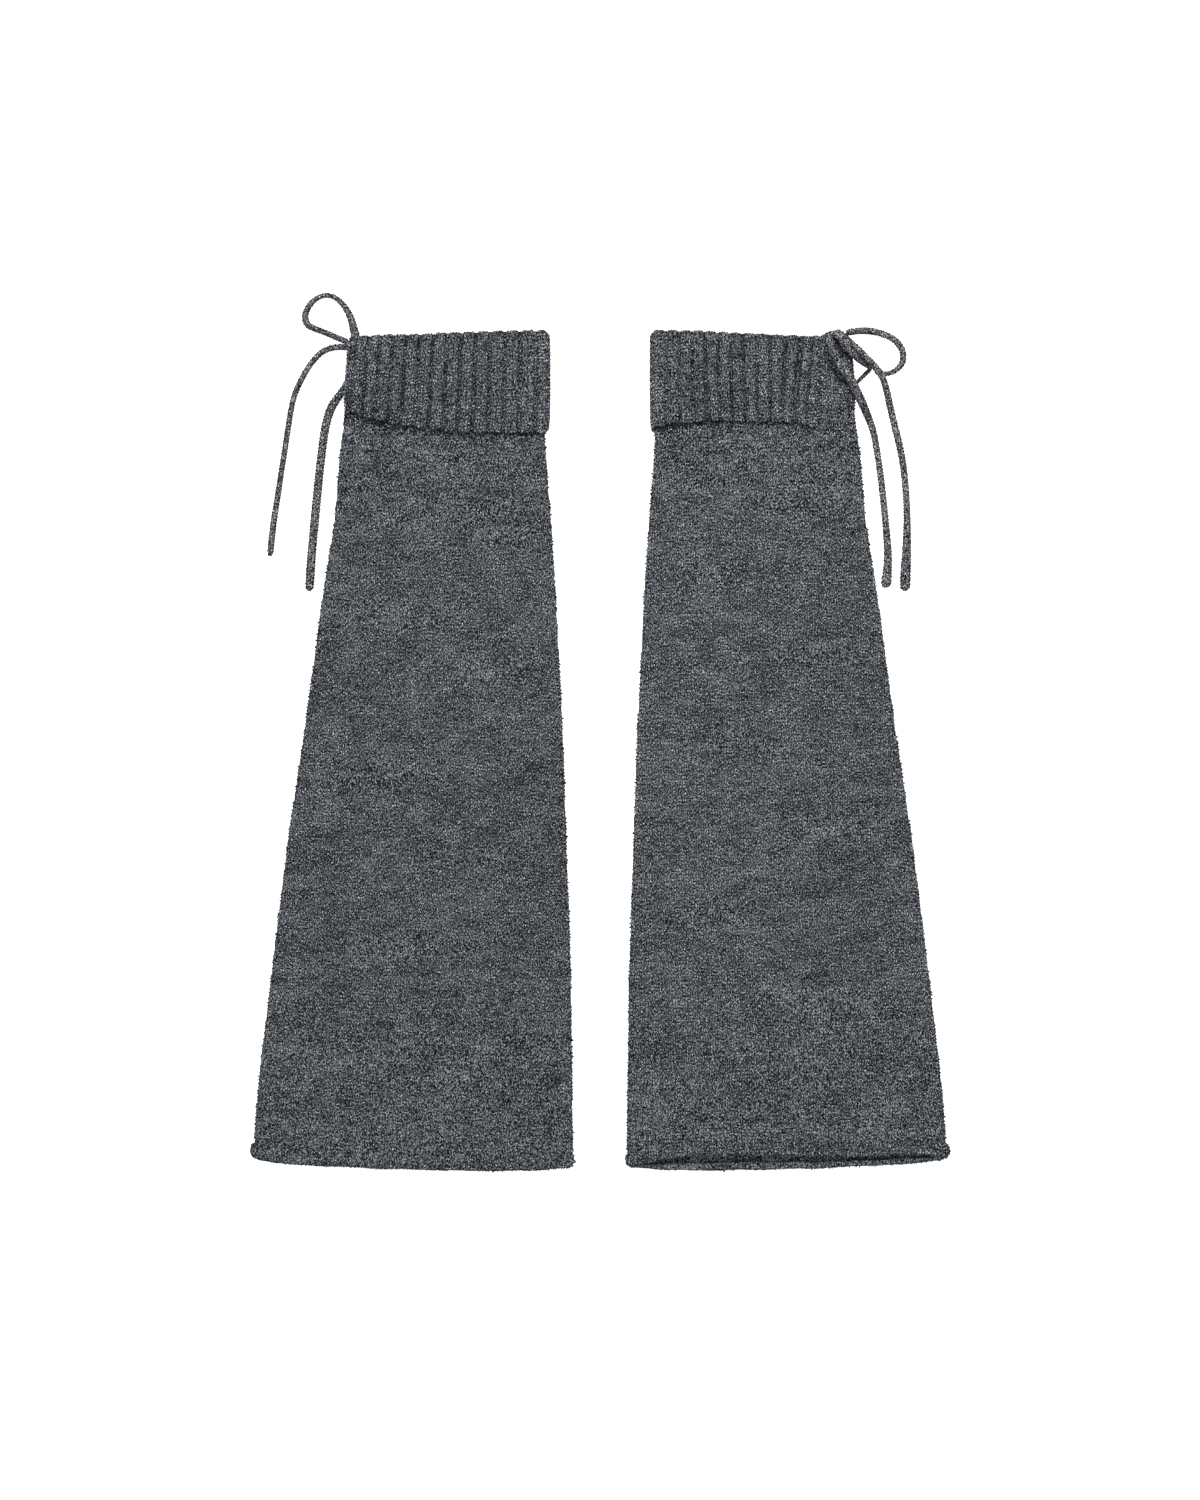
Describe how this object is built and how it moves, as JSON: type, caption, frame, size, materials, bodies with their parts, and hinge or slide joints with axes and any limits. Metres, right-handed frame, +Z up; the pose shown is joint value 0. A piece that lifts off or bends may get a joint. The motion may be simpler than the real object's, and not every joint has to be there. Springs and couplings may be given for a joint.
{
  "type": "pair of knitted leg warmers",
  "caption": "Flared knitted leg warmers lying flat side by side, each with a turned-down ribbed cuff and a knitted cord tied in a bow at its outer corner; worn over the lower legs for warmth.",
  "frame": {"origin": "middle of the pair's outline, on the surface that it lies on", "axes": "+X from the left leg warmer to the right one, +Y from the hems to the cuffs, +Z up from the surface"},
  "size_m": [0.4196, 0.5274, 0.0196],
  "materials": {
    "body_knit": "dark grey melange stocking stitch, slightly fuzzy",
    "cuff_rib": "dark grey melange rib, slightly fuzzy",
    "tie_cord": "grey melange knitted cord, slightly fuzzy"
  },
  "bodies": {
    "root": {"left_tube": "body_knit", "left_cuff": "cuff_rib", "left_tie_knot": "tie_cord", "right_tube": "body_knit", "right_cuff": "cuff_rib", "right_tie_knot": "tie_cord", "left_tie_loop": "tie_cord", "left_tie_tail_outer": "tie_cord", "left_tie_tail_inner": "tie_cord", "right_tie_loop_front": "tie_cord", "right_tie_loop_back": "tie_cord", "right_tie_tail_inner": "tie_cord", "right_tie_tail_outer": "tie_cord"}
  },
  "joints": []
}
